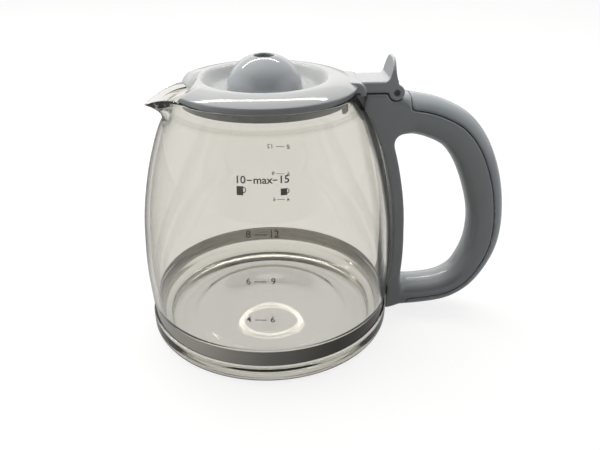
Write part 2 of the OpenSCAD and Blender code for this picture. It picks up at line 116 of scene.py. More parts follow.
def object_place(tree):
    return tree.nodes.new("ShaderNodeTexCoord").outputs["Object"]


def object_noise(tree, scale, detail, stretch=None):
    place = object_place(tree)
    if stretch:
        mapping = add(tree, "ShaderNodeMapping", Scale=stretch)
        tree.links.new(place, mapping.inputs["Vector"])
        place = mapping.outputs["Vector"]
    noise = add(tree, "ShaderNodeTexNoise", Scale=scale, Detail=detail)
    tree.links.new(place, noise.inputs["Vector"])
    return noise.outputs["Fac"]


def split_xyz(tree, place):
    node = tree.nodes.new("ShaderNodeSeparateXYZ")
    tree.links.new(place, node.inputs["Vector"])
    return node.outputs


def span(tree, source, low, high, to_low=0.0, to_high=1.0, smooth=False):
    node = add(tree, "ShaderNodeMapRange", From_Min=low, From_Max=high, To_Min=to_low, To_Max=to_high)
    if smooth:
        node.interpolation_type = "SMOOTHSTEP"
    tree.links.new(source, node.inputs["Value"])
    return node.outputs["Result"]


def maths(tree, operation, *values):
    node = tree.nodes.new("ShaderNodeMath")
    node.operation = operation
    for socket, value in zip(node.inputs, values):
        plug(tree, value, socket)
    return node.outputs[0]


def vector_maths(tree, operation, *values):
    node = tree.nodes.new("ShaderNodeVectorMath")
    node.operation = operation
    for socket, value in zip(node.inputs, values):
        plug(tree, value, socket)
    return node.outputs["Vector" if operation == "MULTIPLY" else "Value"]


def axis_distance(tree):
    flat_place = vector_maths(tree, "MULTIPLY", object_place(tree), (1, 1, 0))
    return vector_maths(tree, "LENGTH", flat_place)


def shade_base(tree, b, shade, share=1.0):
    mix = tree.nodes.new("ShaderNodeMixRGB")
    mix.blend_type = "MULTIPLY"
    plug(tree, share, mix.inputs["Fac"])
    tree.links.new(b.inputs["Base Color"].links[0].from_socket, mix.inputs["Color1"])
    tree.links.new(shade, mix.inputs["Color2"])
    tree.links.new(mix.outputs["Color"], b.inputs["Base Color"])


def raise_surface(tree, b, source, strength, distance):
    bump = add(tree, "ShaderNodeBump", Strength=strength, Distance=distance)
    tree.links.new(source, bump.inputs["Height"])
    tree.links.new(bump.outputs["Normal"], b.inputs["Normal"])


# Plastics: soft patches of colour and a fine grain under a thin coat
PATCH_SCALE, PATCH_DETAIL = 35.0, 4.0
GRAIN_SCALE, GRAIN_DETAIL, GRAIN_DEPTH = 900.0, 2.0, 0.00002
PLASTIC_IOR, COAT_ROUGH = 1.52, 0.06


def plastic(name, dark, light, rough, coat, grain):
    material, tree, b = new_material(name)
    patches = object_noise(tree, PATCH_SCALE, PATCH_DETAIL)
    tree.links.new(mottle(tree, patches, dark, light), b.inputs["Base Color"])
    fine = object_noise(tree, GRAIN_SCALE, GRAIN_DETAIL)
    tree.links.new(mottle(tree, fine, grey(rough[0]), grey(rough[1])), b.inputs["Roughness"])
    raise_surface(tree, b, fine, grain, GRAIN_DEPTH)
    b.inputs["IOR"].default_value = PLASTIC_IOR
    b.inputs["Coat Weight"].default_value = coat
    b.inputs["Coat Roughness"].default_value = COAT_ROUGH
    return material


# The lid's ring is glossy and its dish is dull, and its lower edge has painted shade
DISH_R_IN, DISH_R_OUT = 0.0305, 0.0325
DISH_ROUGH, RING_ROUGH = 0.42, 0.07
SKIRT_Z_LOW, SKIRT_Z_HIGH = 0.134, 0.139
SKIRT_R_IN, SKIRT_R_OUT = 0.039, 0.043
SKIRT_SHADE_STOPS = [(0.2, (0.66, 0.69, 0.74)), (0.5, (0.86, 0.87, 0.88)), (0.9, grey(1))]


def dull_dish(material):
    tree = material.node_tree
    b = tree.nodes["Principled BSDF"]
    rough = span(tree, axis_distance(tree), DISH_R_IN, DISH_R_OUT, DISH_ROUGH, RING_ROUGH)
    tree.links.new(rough, b.inputs["Roughness"])
    tree.links.new(rough, b.inputs["Coat Roughness"])


def paint_skirt_shade(material):
    tree = material.node_tree
    # Painted shade: the lid's outer lower edge is darkened, standing in for the shade on its undercut face.
    height = span(tree, split_xyz(tree, object_place(tree))["Z"], SKIRT_Z_LOW, SKIRT_Z_HIGH)
    outer = span(tree, axis_distance(tree), SKIRT_R_IN, SKIRT_R_OUT)
    shade_base(tree, tree.nodes["Principled BSDF"], ramp(tree, height, SKIRT_SHADE_STOPS), outer)


# Steels: brushed lines, and for the band a painted shade, standing in for darker reflections, that is darkest
# on the near side by the handle
STEEL_LINE_DETAIL, STEEL_LINE_BUMP, STEEL_LINE_DEPTH = 3.0, 0.15, 0.00002
STEEL_PATCH_SCALE, STEEL_PATCH_DETAIL, STEEL_PATCH_SHARE = 40.0, 2.0, 0.93
BAND_SHADE_AXIS = (12.1, -9.1, 0)
BAND_SHADE_STOPS = [(0.1, grey(1)), (0.6, grey(0.42)), (0.93, grey(0.18)), (1.0, grey(0.2))]


def steel(name, base, rough, stretch, scale):
    material, tree, b = new_material(name)
    lines = object_noise(tree, scale, STEEL_LINE_DETAIL, stretch)
    tree.links.new(mottle(tree, lines, grey(rough[0]), grey(rough[1])), b.inputs["Roughness"])
    patches = object_noise(tree, STEEL_PATCH_SCALE, STEEL_PATCH_DETAIL)
    dark = tuple(STEEL_PATCH_SHARE * c for c in base)
    tree.links.new(mottle(tree, patches, dark, base), b.inputs["Base Color"])
    b.inputs["Metallic"].default_value = 1.0
    raise_surface(tree, b, lines, STEEL_LINE_BUMP, STEEL_LINE_DEPTH)
    return material


def paint_band_shade(material):
    tree = material.node_tree
    # Painted shade: the band's colour darkens along this axis towards the near side by the handle.
    along = vector_maths(tree, "DOT_PRODUCT", object_place(tree), BAND_SHADE_AXIS)
    shade_base(tree, tree.nodes["Principled BSDF"], ramp(tree, along, BAND_SHADE_STOPS))


# Glass: grey tint, a painted dark edge on the spout side standing in for dark refractions at grazing angles,
# and a soft painted dark line at the neck's fold
GLASS_IOR = 1.5
TINT_SCALE, TINT_DETAIL = 12.0, 2.0
TINT_DARK, TINT_LIGHT = (0.83, 0.822, 0.79), (0.85, 0.842, 0.81)
EDGE_BLEND = 0.5
PAINTED_EDGE_SHADE_STOPS = [
    (0.5, grey(1)), (0.61, (0.93, 0.93, 0.92)), (0.7, (0.84, 0.84, 0.82)), (0.785, (0.6, 0.6, 0.58)),
    (0.848, (0.3, 0.3, 0.28)), (0.93, (0.15, 0.15, 0.14))
]
EDGE_SHADE_X_NONE, EDGE_SHADE_X_FULL = 0.0, -0.045
FOLD_Z_LOW, FOLD_Z_HIGH = 0.12, 0.132
FOLD_SHADE_STOPS = [(0.3, grey(1)), (0.38, (0.89, 0.89, 0.88)), (0.44, (0.75, 0.75, 0.72)), (0.52, grey(1))]
WAVE_SCALE, WAVE_DETAIL, WAVE_BUMP, WAVE_DEPTH = 30.0, 1.0, 0.08, 0.0002
SOAK_COLOUR, SOAK_DENSITY = (0.37, 0.34, 0.22, 1), 24.0


def clear_glass(name):
    material, tree, b = new_material(name)
    b.inputs["Transmission Weight"].default_value = 1.0
    b.inputs["IOR"].default_value = GLASS_IOR
    b.inputs["Roughness"].default_value = 0.0
    patches = object_noise(tree, TINT_SCALE, TINT_DETAIL)
    tree.links.new(mottle(tree, patches, TINT_DARK, TINT_LIGHT), b.inputs["Base Color"])
    place = split_xyz(tree, object_place(tree))
    # Painted shade: on the spout side the base colour darkens towards grazing angles, standing in for dark
    # refractions along the glass's edges.
    weight = add(tree, "ShaderNodeLayerWeight", Blend=EDGE_BLEND)
    edge = ramp(tree, weight.outputs["Facing"], PAINTED_EDGE_SHADE_STOPS)
    shade_base(tree, b, edge, span(tree, place["X"], EDGE_SHADE_X_NONE, EDGE_SHADE_X_FULL))
    # Painted shade: a soft dark line round the neck's fold, standing in for the refraction there.
    shade_base(tree, b, ramp(tree, span(tree, place["Z"], FOLD_Z_LOW, FOLD_Z_HIGH), FOLD_SHADE_STOPS))
    raise_surface(tree, b, object_noise(tree, WAVE_SCALE, WAVE_DETAIL), WAVE_BUMP, WAVE_DEPTH)
    soak = add(tree, "ShaderNodeVolumeAbsorption", Color=SOAK_COLOUR, Density=SOAK_DENSITY)
    tree.links.new(soak.outputs["Volume"], tree.nodes["Material Output"].inputs["Volume"])
    return material


# Ink of the cup scale
INK_NOISE_SCALE, INK_NOISE_DETAIL, INK_ROUGH = 700.0, 2.0, 0.45


def printed(name, dark, light):
    material, tree, b = new_material(name)
    noise = object_noise(tree, INK_NOISE_SCALE, INK_NOISE_DETAIL)
    tree.links.new(mottle(tree, noise, dark, light), b.inputs["Base Color"])
    b.inputs["Roughness"].default_value = INK_ROUGH
    return material


# Materials, the plastics as dark and light patch, roughness range, coat and grain
mat_body = plastic("handle_grey", (0.318, 0.342, 0.36), (0.348, 0.372, 0.39), (0.16, 0.22), 0.3, 0.03)
mat_arm = plastic("arm_grey", (0.36, 0.384, 0.402), (0.39, 0.414, 0.432), (0.14, 0.2), 0.35, 0.02)
mat_cover = plastic("cover_grey", (0.32, 0.356, 0.388), (0.35, 0.386, 0.418), (0.14, 0.2), 0.35, 0.03)
# The dome and the lid shell are one grey plastic in two copies: the shell's is painted lighter, standing in
# for light on its ring and dish, and the dome's is painted darker, standing in for its shade.
mat_lid = plastic("lid_grey", (0.3, 0.328, 0.352), (0.335, 0.363, 0.387), (0.06, 0.1), 0.6, 0.004)
mat_shell_lit = plastic("lid_shell_grey_lit", (0.365, 0.382, 0.39), (0.395, 0.412, 0.42), (0.06, 0.1), 0.6, 0.001)
mat_pin = plastic("pin_grey", (0.09, 0.1, 0.11), (0.12, 0.13, 0.14), (0.3, 0.4), 0.1, 0.02)
mat_liner = plastic("liner_grey", (0.34, 0.35, 0.35), (0.38, 0.39, 0.39), (0.25, 0.35), 0.1, 0.04)
mat_band = steel("band_steel", (0.47, 0.45, 0.41), (0.12, 0.25), (1, 1, 30), 60.0)
mat_screw = steel("screw_steel", (0.62, 0.62, 0.61), (0.2, 0.35), (1, 1, 1), 400.0)
mat_glass = clear_glass("jug_glass")
mat_ink = printed("scale_ink", (0.12, 0.12, 0.11), (0.15, 0.15, 0.14))
mat_ink_pale = printed("scale_ink_pale", (0.28, 0.28, 0.26), (0.33, 0.33, 0.31))
dull_dish(mat_shell_lit)
paint_skirt_shade(mat_shell_lit)
paint_band_shade(mat_band)

for node_name, mat in (
    ("base_band", mat_band), ("band_clamp_plate", mat_screw), ("band_screw", mat_screw),
    ("cover_screw", mat_screw), ("hinge_pin", mat_pin), ("lid_liner", mat_liner),
):
    node_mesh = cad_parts[node_name].data
    node_mesh.materials.clear()
    node_mesh.materials.append(mat)


# Mesh helpers
def new_piece(name, mat, body, nodes=()):
    mesh = bpy.data.meshes.new(name)
    ob = bpy.data.objects.new(name, mesh)
    bpy.context.scene.collection.objects.link(ob)
    mesh.materials.append(mat)
    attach(ob, body)
    if nodes:
        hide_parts(*nodes)
    return ob


def fill(ob, verts, faces, sharp_angle=None):
    mesh = ob.data
    mesh.from_pydata([tuple(c * MM for c in v) for v in verts], [], faces)
    mesh.validate()
    bm = bmesh.new()
    bm.from_mesh(mesh)
    bmesh.ops.recalc_face_normals(bm, faces=bm.faces)
    bm.to_mesh(mesh)
    bm.free()
    for polygon in mesh.polygons:
        polygon.use_smooth = True
    if sharp_angle:
        mesh.set_sharp_from_angle(angle=math.radians(sharp_angle))


def spline(points, n):
    out = []
    for i in range(len(points) - 1):
        a = points[max(i - 1, 0)]
        b, c = points[i], points[i + 1]
        d = points[min(i + 2, len(points) - 1)]
        for k in range(n):
            t = k / n
            out.append(tuple(
                b[j] + (c[j] - a[j]) * t / 2 + (2 * a[j] - 5 * b[j] + 4 * c[j] - d[j]) * t * t / 2
                + (3 * b[j] - a[j] - 3 * c[j] + d[j]) * t ** 3 / 2 for j in range(len(b))))
    out.append(tuple(points[-1]))
    return out


def arc(cx, cy, r, start, end, n):
    angles = [math.radians(start + (end - start) * k / n) for k in range(n + 1)]
    return [(cx + r * math.cos(t), cy + r * math.sin(t)) for t in angles]


def offset(points, d):
    out = []
    for i, p in enumerate(points):
        a, b = points[max(i - 1, 0)], points[min(i + 1, len(points) - 1)]
        ux, uy = b[0] - a[0], b[1] - a[1]
        n = math.hypot(ux, uy)
        out.append((p[0] - d * uy / n, p[1] + d * ux / n))
    return out


def clamp(value):
    return min(max(value, 0), 1)


def ease(t):
    return t * t * (3 - 2 * t)


def angle_from(theta, middle):
    return abs(math.atan2(math.sin(theta - middle), math.cos(theta - middle)))


# Turned shape: profile of (radius, height), a tip height for each closed end, or a loop from last to first
def revolve(profile, seg, tips=None, warp=None):
    verts, faces, rows = [], [], []
    for r, z in profile:
        row = []
        for k in range(seg):
            t = 2 * math.pi * k / seg
            wr, wz = warp(r, z, t) if warp else (r, z)
            row.append(len(verts))
            verts.append((wr * math.cos(t), wr * math.sin(t), wz))
        rows.append(row)
    for a, b in zip(rows, rows[1:]):
        for k in range(seg):
            after = (k + 1) % seg
            faces.append((a[k], a[after], b[after], b[k]))
    first, last = rows[0], rows[-1]
    if tips is None:
        for k in range(seg):
            after = (k + 1) % seg
            faces.append((last[k], last[after], first[after], first[k]))
        return verts, faces
    start_tip, end_tip = len(verts), len(verts) + 1
    verts += [(0, 0, tips[0]), (0, 0, tips[1])]
    faces += [(start_tip, first[(k + 1) % seg], first[k]) for k in range(seg)]
    faces += [(end_tip, last[k], last[(k + 1) % seg]) for k in range(seg)]
    return verts, faces


# Glass jug: outline as (radius, height), with the spout bent out of the neck
JUG_SEG = 320
WALL = 2.6
RIM_R, BELLY_OUT = 45.6, 22.6
BELLY_Z0, RIM_Z = 20.45, 131.3
BELLY_SHARES = [
    (0, 0.965), (0.16, 1), (0.3, 0.98), (0.45, 0.92), (0.6, 0.79), (0.74, 0.61), (0.87, 0.375),
    (0.965, 0.09), (0.985, 0.02)
]
FOOT_R, FOOT_WALL_Z = 67.8, 8.8
FOOT_ROUND, FOOT_ROUND_START = 5, -88
FOOT_EDGE, FOOT_EDGE_Z = 1, 9.9
FOOT_RING = [
    (42.2, 1.7), (43.6, 1.2), (45.0, 0.75), (46.2, 0.65), (57.5, 0.65), (59.4, 0.5), (60.3, 0.2),
    (61, 0.0), (62.3, 0.0)
]
BAND_GROOVE = [
    (66.3, 10.9), (65.8, 11.05), (65.8, 12), (65.8, 19.2), (65.8, 19.95), (66.3, 20.05), (67.0, 20.1)
]
FOOT_INSIDE = [
    (63.2, 18), (63.15, 15), (62.6, 12.6), (61.3, 10.4), (59.2, 8.5), (56.4, 7.0), (53.0, 5.8),
    (49.5, 5.0), (46.5, 4.55), (44.4, 4.45), (43.2, 4.7), (42.2, 4.95), (41.0, 5.0)
]
FLOOR_UNDER, FLOOR_TOP = 1.8, 5.0
PUNT_R, PUNT_H, PUNT_STEPS = 41.0, 6.8, 24
BELLY_STEPS, FOOT_STEPS, EDGE_STEPS, ROUND_STEPS = 8, 4, 4, 10

belly_points = [(RIM_R + BELLY_OUT * out, BELLY_Z0 + (RIM_Z - BELLY_Z0) * up) for up, out in BELLY_SHARES]
belly = spline(belly_points, BELLY_STEPS)
outer_wall = belly + [(RIM_R, RIM_Z)]
inner_wall = offset(belly, WALL) + [(RIM_R - WALL, RIM_Z)]


def radius_at(wall, z, **ends):
    return np.interp(z, [p[1] for p in wall], [p[0] for p in wall], **ends)


def belly_r(z):
    for a, b in zip(outer_wall, outer_wall[1:]):
        if a[1] <= z <= b[1]:
            return a[0] + (b[0] - a[0]) * (z - a[1]) / (b[1] - a[1])
    return outer_wall[0][0] if z < outer_wall[0][1] else RIM_R


def punt(z):
    steps = range(1, PUNT_STEPS + 1)
    shares = [k / PUNT_STEPS for k in steps]
    return [(PUNT_R * share, z + PUNT_H * (1 + math.cos(math.pi * share)) / 2) for share in shares]


foot_round = arc(FOOT_R - FOOT_ROUND, FOOT_ROUND, FOOT_ROUND, FOOT_ROUND_START, 0, ROUND_STEPS)
foot_edge = arc(FOOT_R - FOOT_EDGE, FOOT_EDGE_Z, FOOT_EDGE, 0, 90, EDGE_STEPS)
rim_round = arc(RIM_R - WALL / 2, RIM_Z, WALL / 2, 0, 180, ROUND_STEPS)[1:-1]
glass_out = (
    punt(FLOOR_UNDER) + FOOT_RING + foot_round + [(FOOT_R, FOOT_WALL_Z)] + foot_edge
    + BAND_GROOVE + outer_wall + rim_round
)
glass_in = inner_wall[::-1] + spline(FOOT_INSIDE, FOOT_STEPS) + punt(FLOOR_TOP)[:-1][::-1]

# Spout: reach and drop fall away to both sides of its middle, in degrees, and grow towards the rim
SPOUT_Z0, SPOUT_Z1, SPOUT_MIN_R = 120.6, 132.6, 38
SPOUT_REACH, REACH_ANGLE, REACH_FALL, REACH_RISE = 16.2, 34, 1.8, 1.25
SPOUT_DROP, DROP_ANGLE, DROP_FALL, DROP_RISE = 6.5, 24, 2.3, 0.9
SPOUT_SOFT = 2.5


def bend(r, z, theta):
    turn = math.hypot(math.degrees(angle_from(theta, math.pi)), SPOUT_SOFT) - SPOUT_SOFT
    if z <= SPOUT_Z0 or turn >= REACH_ANGLE or r < SPOUT_MIN_R:
        return r, z
    out = (1 - turn / REACH_ANGLE) ** REACH_FALL
    down = (1 - min(turn / DROP_ANGLE, 1)) ** DROP_FALL
    rise = (z - SPOUT_Z0) / (SPOUT_Z1 - SPOUT_Z0)
    return r + SPOUT_REACH * out * rise ** REACH_RISE, z - SPOUT_DROP * down * rise ** DROP_RISE


jug = new_piece("jug_glass", mat_glass, "jug", ("glass_jug",))
fill(jug, *revolve(glass_out + glass_in, JUG_SEG, (FLOOR_UNDER + PUNT_H, FLOOR_TOP + PUNT_H), bend))

# Smooth solids from distance fields, where a field is negative inside and the surface is where it is zero.
# Each grid cell that the surface crosses gets one point, and each crossed grid edge one face.
CORNERS = [(i, j, k) for i in (0, 1) for j in (0, 1) for k in (0, 1)]
EDGES = [
    (a, b) for a in range(8) for b in range(a + 1, 8)
    if sum(abs(p - q) for p, q in zip(CORNERS[a], CORNERS[b])) == 1
]


def surface(name, mat, body, nodes, field, low, high, step):
    xs, ys, zs = (np.arange(a, b + step, step) for a, b in zip(low, high))
    values = field(*np.meshgrid(xs, ys, zs, indexing="ij"))
    last = [s - 1 for s in values.shape]
    corner = [values[i:last[0] + i, j:last[1] + j, k:last[2] + k] for i, j, k in CORNERS]
    inside = sum((c < 0).astype(np.int8) for c in corner)
    cell = (inside > 0) & (inside < 8)
    index = -np.ones(cell.shape, dtype=np.int64)
    index[cell] = np.arange(cell.sum())
    total = np.zeros((cell.sum(), 3))
    count = np.zeros(cell.sum())
    for a, b in EDGES:
        fa, fb = corner[a][cell], corner[b][cell]
        cross = (fa < 0) != (fb < 0)
        t = np.where(cross, fa / np.where(cross, fa - fb, 1), 0)
        pa, pb = np.array(CORNERS[a], float), np.array(CORNERS[b], float)
        total[cross] += pa + t[cross, None] * (pb - pa)
        count[cross] += 1
    points = (np.argwhere(cell) + total / count[:, None]) * step + np.array([xs[0], ys[0], zs[0]])
    faces = []
    for axis in range(3):
        from_part, to_part = [slice(1, s) for s in last], [slice(1, s) for s in last]
        from_part[axis], to_part[axis] = slice(0, last[axis]), slice(1, last[axis] + 1)
        starts_in, ends_in = values[tuple(from_part)] < 0, values[tuple(to_part)] < 0
        where = np.argwhere(starts_in != ends_in)
        flip = starts_in[tuple(where.T)] ^ (axis == 1)
        others = [d for d in range(3) if d != axis]
        grid = where.copy()
        grid[:, others] += 1
        side_a, side_b = np.zeros(3, int), np.zeros(3, int)
        side_a[others[0]], side_b[others[1]] = 1, 1
        around = (side_a * 0, side_a, side_a + side_b, side_b)
        quad = np.stack([index[tuple((grid - q).T)] for q in around], 1)
        quad[flip] = quad[flip][:, ::-1]
        faces.append(quad)
    faces = np.concatenate(faces)
    faces = faces[(faces >= 0).all(1)]
    fill(new_piece(name, mat, body, nodes), points, [tuple(int(i) for i in q) for q in faces])


# Distance to a line in the x-z plane, and with values, the value of the line at the nearest place
def near(line, x, z, values=None):
    best = np.full(x.shape, 1e9)
    value = np.zeros(x.shape)
    for i in range(len(line) - 1):
        ax, az = line[i]
        bx, bz = line[i + 1]
        dx, dz = bx - ax, bz - az
        t = np.clip(((x - ax) * dx + (z - az) * dz) / (dx * dx + dz * dz), 0, 1)
        d = np.hypot(x - ax - t * dx, z - az - t * dz)
        closer = d < best
        best = np.where(closer, d, best)
        if values is not None:
            value = np.where(closer, values[i] + t * (values[i + 1] - values[i]), value)
    return (best, value) if values is not None else best


# Union of two fields with a rounded join of size k
def smin(a, b, k):
    h = np.clip(0.5 + 0.5 * (b - a) / k, 0, 1)
    return b + h * (a - b) - k * h * (1 - h)


# Distance from a corner region, given the distances past its two faces
def two_way(qa, qb):
    return np.hypot(np.maximum(qa, 0), np.maximum(qb, 0)) + np.minimum(np.maximum(qa, qb), 0)


def box2(x, z, x0, x1, z0, z1):
    return two_way(np.abs(x - (x0 + x1) / 2) - (x1 - x0) / 2, np.abs(z - (z0 + z1) / 2) - (z1 - z0) / 2)


# A flat outline given a width of half to each side of y zero, with edges rounded by r
def thick(d2, y, half, r):
    return two_way(d2 + r, np.abs(y) - half + r) - r


# Handle: the grip line and seam of the solids, with a section that goes from a block to a rounded grip
PIN_X, PIN_Z = 65.1, 132.2
GRIP_X0, GRIP_X1, GRIP_Z0, GRIP_Z1 = 73.0, 131.4, 2.9, 130.2
GRIP_SHARES = [
    (-0.1, 1), (0, 1), (0.217, 0.983), (0.42, 0.947), (0.6, 0.893), (0.776, 0.79), (0.916, 0.641),
    (0.991, 0.48), (0.998, 0.339), (0.935, 0.225), (0.788, 0.107), (0.572, 0.034), (0.325, 0.009),
    (0.065, 0), (0, 0)
]
GRIP_DEPTH = 21
DEPTH_SHARES = [1, 1, 1, 1, 1, 1, 0.98, 0.92, 0.91, 0.87, 0.81, 0.81, 0.8, 0.83, 0.83]
GRIP_STEPS, GRIP_SMOOTHING = 5, 4
NECK_END_X, NECK_HALF, FOOT_END_X = 48.0, 10.0, 64.0
HALF_W = 10.45
BLOCK_POWER, POWER_FALL, POWER_X0, POWER_RUN = 6.0, 3.85, 64, 13
SPINE_OUT, SPINE_HALF, SPINE_TOP, SPINE_BLEND = 3.6, 3.3, 124, 7.0
EDGE_ROUND, BLOCK_ROUND = 1.3, 1.0
NECK_BLOCK = (50.0, 58.0, 106.0, 120.0)
HINGE_BLOCK = (50.0, 62.5, 120.0, 131.6)
GLASS_GAP, HOOK_X = 0.35, 49.4
LUG_R, LUG_HALF, LUG_BLOCK = 3.3, 6.95, (61.8, 68.4, 124, PIN_Z)
EAR_POCKET_R, EAR_POCKET_Y = 4.5, 7.1
SEAM_X_TOP, SEAM_X_FOOT, SEAM_MIDDLE_Z = 73.1, 79.3, 60
BODY_DEPTH, COVER_DEPTH, BODY_END, COVER_END, SEAM_ROUND = 7.3, 6.9, 0.1, 0.15, 2.4
LIP, LIP_HALF = 1.2, 7.5
HANDLE_LOW, HANDLE_HIGH, HANDLE_STEP = (48.2, -11.4, 1.2), (132.6, 11.4, 137.2), 0.7

grip_points = [
    (GRIP_X0 + along * (GRIP_X1 - GRIP_X0), GRIP_Z0 + up * (GRIP_Z1 - GRIP_Z0)) for along, up in GRIP_SHARES
]
grip_out = spline(grip_points, GRIP_STEPS)
grip_deep = [GRIP_DEPTH * d[0] for d in spline([(d, 0) for d in DEPTH_SHARES], GRIP_STEPS)]
grip_mid = []
for i, p in enumerate(grip_out):
    a, b = grip_out[max(i - 1, 0)], grip_out[min(i + 1, len(grip_out) - 1)]
    ux, uz = b[0] - a[0], b[1] - a[1]
    n = math.hypot(ux, uz)
    grip_mid.append((p[0] + uz / n * grip_deep[i] / 2, p[1] - ux / n * grip_deep[i] / 2))
for _ in range(GRIP_SMOOTHING):
    grip_mid = grip_mid[:1] + [
        ((a[0] + 2 * b[0] + c[0]) / 4, (a[1] + 2 * b[1] + c[1]) / 4)
        for a, b, c in zip(grip_mid, grip_mid[1:], grip_mid[2:])
    ] + grip_mid[-1:]
mid_line = [(NECK_END_X, GRIP_Z1 - NECK_HALF)] + grip_mid + [(FOOT_END_X, GRIP_Z0 + grip_deep[-1] / 2)]
mid_half = [NECK_HALF] + [d / 2 for d in grip_deep] + [grip_deep[-1] / 2]
spine_line = [(r + SPINE_OUT, z) for r, z in belly if z < SPINE_TOP]


def handle_field(x, y, z):
    x2, z2 = x[:, 0, :], z[:, 0, :]
    d, half = near(mid_line, x2, z2, mid_half)
    power = BLOCK_POWER - POWER_FALL * ease(np.clip((x2 - POWER_X0) / POWER_RUN, 0, 1))
    d, half, power = d[:, None, :], half[:, None, :], power[:, None, :]
    section = ((d / half) ** power + (np.abs(y) / HALF_W) ** power) ** (1 / power)
    grip = (section - 1) * np.minimum(half, HALF_W)
    spine = thick(near(spine_line, x2, z2)[:, None, :] - SPINE_HALF, y, HALF_W, EDGE_ROUND)
    f = smin(grip, spine, SPINE_BLEND)
    f = np.minimum(f, thick(box2(x, z, *NECK_BLOCK), y, HALF_W, EDGE_ROUND))
    f = smin(f, thick(box2(x, z, *HINGE_BLOCK), y, HALF_W, BLOCK_ROUND), BLOCK_ROUND)
    f = np.maximum(f, np.abs(y) - HALF_W)
    glass = radius_at(outer_wall, z, left=FOOT_R, right=RIM_R)
    f = np.maximum(f, glass + GLASS_GAP - np.hypot(x, y))
    f = np.maximum(f, HOOK_X - x)
    pin = np.hypot(x - PIN_X, z - PIN_Z)
    lug = np.maximum(np.minimum(pin - LUG_R, box2(x, z, *LUG_BLOCK)), np.abs(y) - LUG_HALF)
    f = np.minimum(f, lug)
    return np.maximum(f, -np.maximum(pin - EAR_POCKET_R, EAR_POCKET_Y - np.abs(y)))


# Depth under the grip line, with a lip inside the seam, and where the cover starts
def cover_zone(x, y, z):
    x2, z2 = x[:, 0, :], z[:, 0, :]
    start = np.where(z2 > SEAM_MIDDLE_Z, SEAM_X_TOP, SEAM_X_FOOT)
    lip = LIP * np.clip(LIP_HALF - np.abs(y), 0, 1)
    return near(grip_out, x2, z2)[:, None, :] + lip, start[:, None, :]


def body_field(x, y, z):
    d, start = cover_zone(x, y, z)
    return np.maximum(handle_field(x, y, z), smin(BODY_DEPTH - d, x - start + BODY_END, SEAM_ROUND))


def cover_field(x, y, z):
    d, start = cover_zone(x, y, z)
    return np.maximum(handle_field(x, y, z), -smin(COVER_DEPTH - d, x - start - COVER_END, SEAM_ROUND))


surface("handle_shell", mat_body, "jug", ("handle_body",), body_field,
        HANDLE_LOW, HANDLE_HIGH, HANDLE_STEP)
surface("handle_outer_cover", mat_cover, "jug", ("handle_cover",), cover_field,
        HANDLE_LOW, HANDLE_HIGH, HANDLE_STEP)

# Hook over the rim, a part of the handle: upright, block over the rim, tongue inside the neck and a filler
CHAMFER = 0.35
UPRIGHT = [(49.4, 52.5, 5.5, 124), (49.4, 52.5, 5.5, 134.1), (49.7, 52.2, 5.2, 134.4)]
RIM_BLOCK = [
    (41.3, 52.0, 5.2, 132.95), (41.1, 52.3, 5.5, 133.2), (41.1, 52.3, 5.5, 134.1), (41.4, 52.0, 5.2, 134.4)
]
TONGUE_HALF, TONGUE_DEEP = 7.1, 1.5
TONGUE_TIP = {117.2: 1.6, 117.5: 0.9, 118.1: 0.3}
TONGUE_Z = (117.2, 117.5, 118.1, 119.1, 120.5, 122, 124, 126, 128, 130, 131.5, 133.6)
FILLER_Z = (122.5, 124, 126, 128, 130, 130.9)
FILLER_Y = (7.3, 3.6, 0.0, -3.6, -7.3)
FILLER_X, FILLER_GAP = 50.0, 0.25
HOOK_SHARP = 40
hook_verts, hook_faces = [], []


def hook_block(sections):
    base = len(hook_verts)
    for section in sections:
        hook_verts.extend(section)
    n = len(sections[0])
    for i in range(len(sections) - 1):
        low, high = base + i * n, base + (i + 1) * n
        for j in range(n):
            after = (j + 1) % n
            hook_faces.append((low + j, low + after, high + after, high + j))
    hook_faces.append(tuple(base + j for j in range(n)))
    hook_faces.append(tuple(base + (len(sections) - 1) * n + j for j in range(n)))


def flat(x0, x1, half, z):
    c = CHAMFER
    return [(x0 + c, -half, z), (x1 - c, -half, z), (x1, -half + c, z), (x1, half - c, z),
            (x1 - c, half, z), (x0 + c, half, z), (x0, half - c, z), (x0, -half + c, z)]


def tongue_section(z):
    outer_x = math.sqrt((radius_at(inner_wall, z) - GLASS_GAP) ** 2 - TONGUE_HALF ** 2)
    return flat(outer_x - TONGUE_DEEP, outer_x, TONGUE_HALF - TONGUE_TIP.get(z, 0), z)


def filler_section(z):
    r = belly_r(z) + FILLER_GAP
    inner = [(math.sqrt(r * r - y * y), y, z) for y in FILLER_Y]
    return inner + [(FILLER_X, FILLER_Y[-1], z), (FILLER_X, FILLER_Y[0], z)]


hook_block([flat(*row) for row in UPRIGHT])
hook_block([flat(*row) for row in RIM_BLOCK])
hook_block([tongue_section(z) for z in TONGUE_Z])
hook_block([filler_section(z) for z in FILLER_Z])
hook = new_piece("rim_hook", mat_body, "jug", ())
fill(hook, hook_verts, hook_faces, HOOK_SHARP)

